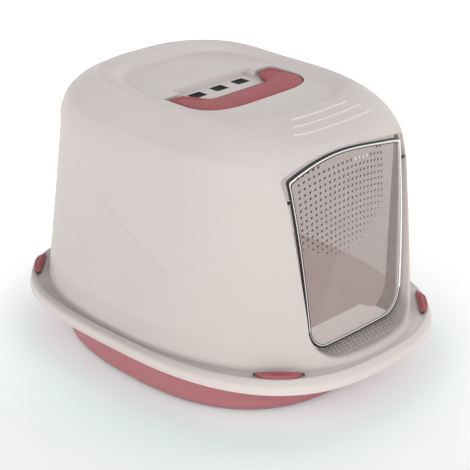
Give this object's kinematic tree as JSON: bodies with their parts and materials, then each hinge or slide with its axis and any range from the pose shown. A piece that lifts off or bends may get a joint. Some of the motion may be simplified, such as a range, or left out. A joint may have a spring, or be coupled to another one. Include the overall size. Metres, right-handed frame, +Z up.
{
  "type": "hooded litter box",
  "caption": "Cat litter box with a lift-off hood, a see-through swinging door flap, a folding carry handle, locking clips and a filter under the roof vents.",
  "frame": {"origin": "on the floor, under the middle of the box's length and width", "axes": "+Z up, -Y out of the door, +X to the right of someone who stands outside and faces the door"},
  "size_m": [0.407, 0.54, 0.36],
  "materials": {
    "hood_shell": "satin",
    "tray_pink": "satin",
    "trim_pink": "satin",
    "clear_flap": "clear smoked plastic with a printed dot pattern",
    "filter_foam": "black carbon fleece"
  },
  "bodies": {
    "tray": {"tray": "tray_pink"},
    "hood": {"hood_skirt": "hood_shell", "hood_wall": "hood_shell", "hood_roof": "hood_shell", "door_surround": "hood_shell", "handle_pocket": "hood_shell"},
    "door_flap": {"door_flap": "clear_flap"},
    "carry_handle": {"carry_handle": "trim_pink"},
    "filter_holder": {"filter_holder": "hood_shell", "filter_pad": "filter_foam"},
    "clip_front_left": {"clip_front_left": "trim_pink"},
    "clip_front_right": {"clip_front_right": "trim_pink"},
    "clip_rear_left": {"clip_rear_left": "trim_pink"},
    "clip_rear_right": {"clip_rear_right": "trim_pink"}
  },
  "joints": [
    {"name": "hood_lift", "type": "slide", "parent": "tray", "child": "hood", "axis": [0, 0, 1], "range_m": [0, 0.3]},
    {"name": "flap_swing", "type": "hinge", "parent": "hood", "child": "door_flap", "pos_m": [0, -0.1968, 0.283], "axis": [1, 0, 0], "range_deg": [-80, 75]},
    {"name": "handle_fold", "type": "hinge", "parent": "hood", "child": "carry_handle", "pos_m": [0, 0.013, 0.3463], "axis": [-1, 0, 0], "range_deg": [0, 95]},
    {"name": "filter_holder_drop", "type": "hinge", "parent": "hood", "child": "filter_holder", "pos_m": [0, 0.0508, 0.3338], "axis": [1, 0, 0], "range_deg": [0, 80]},
    {"name": "clip_front_left_turn", "type": "hinge", "parent": "hood", "child": "clip_front_left", "pos_m": [-0.13121, -0.21251, 0.0796], "axis": [-0.7046, 0.7096, 0], "range_deg": [0, 28]},
    {"name": "clip_front_right_turn", "type": "hinge", "parent": "hood", "child": "clip_front_right", "pos_m": [0.13121, -0.21251, 0.0796], "axis": [-0.7046, -0.7096, 0], "range_deg": [0, 28]},
    {"name": "clip_rear_left_turn", "type": "hinge", "parent": "hood", "child": "clip_rear_left", "pos_m": [-0.13709, 0.2206, 0.0796], "axis": [0.7315, 0.6818, 0], "range_deg": [0, 28]},
    {"name": "clip_rear_right_turn", "type": "hinge", "parent": "hood", "child": "clip_rear_right", "pos_m": [0.13709, 0.2206, 0.0796], "axis": [0.7315, -0.6818, 0], "range_deg": [0, 28]}
  ]
}
